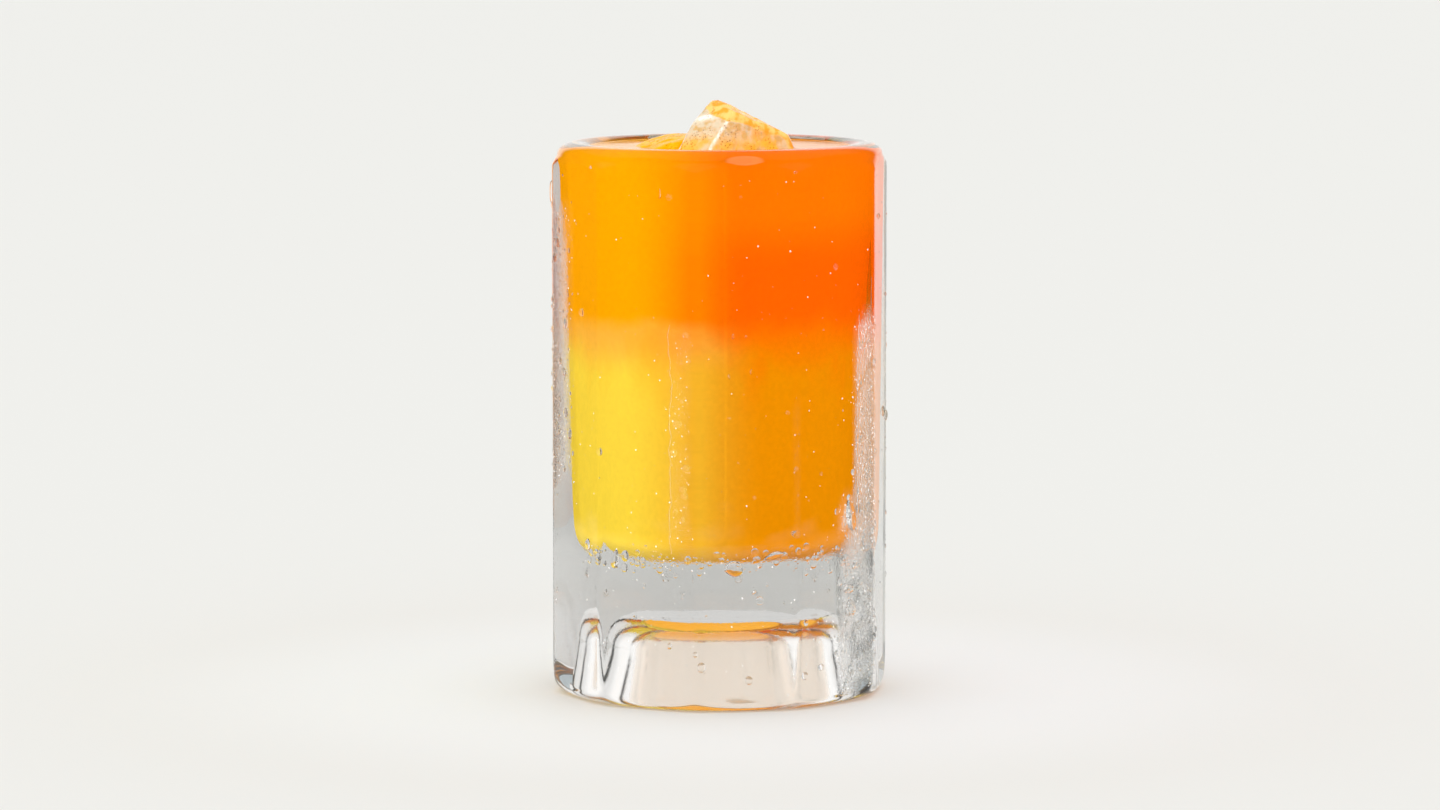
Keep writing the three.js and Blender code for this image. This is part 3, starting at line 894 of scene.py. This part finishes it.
# A point on the outside, with the directions across, up and out of the wall there
def outsideAt(degrees, height):
    angles, radii = zip(*outline())

    def spot(offset):
        angle = math.radians(degrees + offset)
        radius = float(np.interp(angle, angles, radii, period=2 * math.pi))
        return Vector((radius * math.sin(angle), -radius * math.cos(angle), height))

    across = (spot(0.4) - spot(-0.4)).normalized()
    up = Vector((0, 0, 1))
    return spot(0), across, up, across.cross(up)


# Joins rings of points into one closed skin on a bmesh
def addSkin(builder, rings, first, last):
    loops = [[builder.verts.new(p * mm) for p in ring] for ring in rings]
    start, end = builder.verts.new(first * mm), builder.verts.new(last * mm)
    count = len(loops[0])
    for j in range(count):
        k = (j + 1) % count
        builder.faces.new((start, loops[0][k], loops[0][j]))
        builder.faces.new((end, loops[-1][j], loops[-1][k]))
        for low, high in zip(loops, loops[1:]):
            builder.faces.new((low[j], low[k], high[k], high[j]))


def addDrop(builder, facts):
    (degrees, height), (across, upright), bulge, lean = facts
    place, side, up, out = outsideAt(degrees, height)
    tilt = math.radians(lean)
    long = up * math.cos(tilt) + side * math.sin(tilt)
    short = side * math.cos(tilt) - up * math.sin(tilt)
    sides = 28 if across > 0.8 else 14
    rings = []
    for r, h in [(1, -0.1), (1, 0.04), (0.95, 0.4), (0.86, 0.66), (0.7, 0.86), (0.45, 0.96), (0.2, 1)]:
        ring = []
        for j in range(sides):
            swing = 2 * math.pi * j / sides
            # Gravity makes the lower end wider, and the contact line is never quite even
            wide = 1 - 0.22 * math.sin(swing) + 0.09 * math.sin(3 * swing + height)
            depth = -sunkIn if h < 0 else h * bulge
            ring.append(place + short * (r * across * wide * math.cos(swing))
                        + long * (r * upright * math.sin(swing)) + out * depth)
        rings.append(ring)
    addSkin(builder, rings, place - out * sunkIn, place + out * bulge)


def addTrickle(builder, facts):
    degrees, (low, high), half, waver = facts
    # Its section: a low arch over a flat back, as shares of the half width
    section = [(math.cos(a), 0.24 * math.sin(a)) for a in np.linspace(0, math.pi, 9)]
    section += [(-1, -0.2), (1, -0.2)]
    steps = 80
    rings = []
    for i in range(steps + 1):
        t = i / steps
        height = high + (low - high) * t
        slow = noise.noise(Vector((degrees, 0, height * 0.09)))
        quick = noise.noise(Vector((degrees, 9, height * 0.35)))
        sway = waver * (slow + 0.4 * quick)
        place, side, up, out = outsideAt(degrees, height)
        # Its width swells and thins, and closes at both ends
        swell = 0.8 + 0.3 * noise.noise(Vector((3, degrees, height * 0.2)))
        width = half * (math.sqrt(max(1 - (2 * t - 1) ** 8, 0.002)) * swell)
        rings.append([place + side * (sway + x * width) + out * (h * width) for x, h in section])
    ends = [sum(ring, Vector()) / len(ring) for ring in (rings[0], rings[-1])]
    addSkin(builder, rings, *ends)


def makeRunnels():
    builder = bmesh.new()
    for facts in singleDrops:
        addDrop(builder, facts)
    for facts in trickles:
        addTrickle(builder, facts)
    bmesh.ops.recalc_face_normals(builder, faces=builder.faces)
    mesh = bpy.data.meshes.new("runnels")
    builder.to_mesh(mesh)
    builder.free()
    mesh.shade_smooth()
    mesh.materials.append(waterMaterial)
    piece = bpy.data.objects.new("runnels", mesh)
    scene.collection.objects.link(piece)
    return piece


def makeCondensation():
    scatter, names = makeBeadScatter()
    dropProfile = [(1, -0.12), (1, 0.02), (0.9, 0.2), (0.66, 0.38), (0.35, 0.47), (0, 0.5)]
    models = {
        "mist": makeBead("mistBead", 6, [(1, -0.15), (0.98, 0.05), (0.62, 0.36), (0, 0.48)]),
        "drops": makeBead("dropBead", 12, dropProfile),
    }
    pieces = {}
    for kind, facts in beads.items():
        wall = makeMistedWall(3, 119)
        modifier = wall.modifiers.new("beads", "NODES")
        modifier.node_group = scatter
        for key, value in facts.items():
            modifier[names[key]] = value * mm if key in ("Smallest", "Largest") else value
        modifier[names["Bead"]] = models[kind]
        modifier[names["Water"]] = dewMaterial if kind == "mist" else waterMaterial
        depsgraph = bpy.context.evaluated_depsgraph_get()
        mesh = bpy.data.meshes.new_from_object(wall.evaluated_get(depsgraph), depsgraph=depsgraph)
        wall.modifiers.clear()
        bpy.data.objects.remove(wall)
        mesh.shade_smooth()
        pieces[kind] = bpy.data.objects.new(kind, mesh)
        scene.collection.objects.link(pieces[kind])
    for model in models.values():
        bpy.data.objects.remove(model)
    return pieces


water = makeCondensation()
water["runnels"] = makeRunnels()
for kind, piece in water.items():
    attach(piece, "root")
    print(kind, "made:", len(piece.data.polygons), "faces")
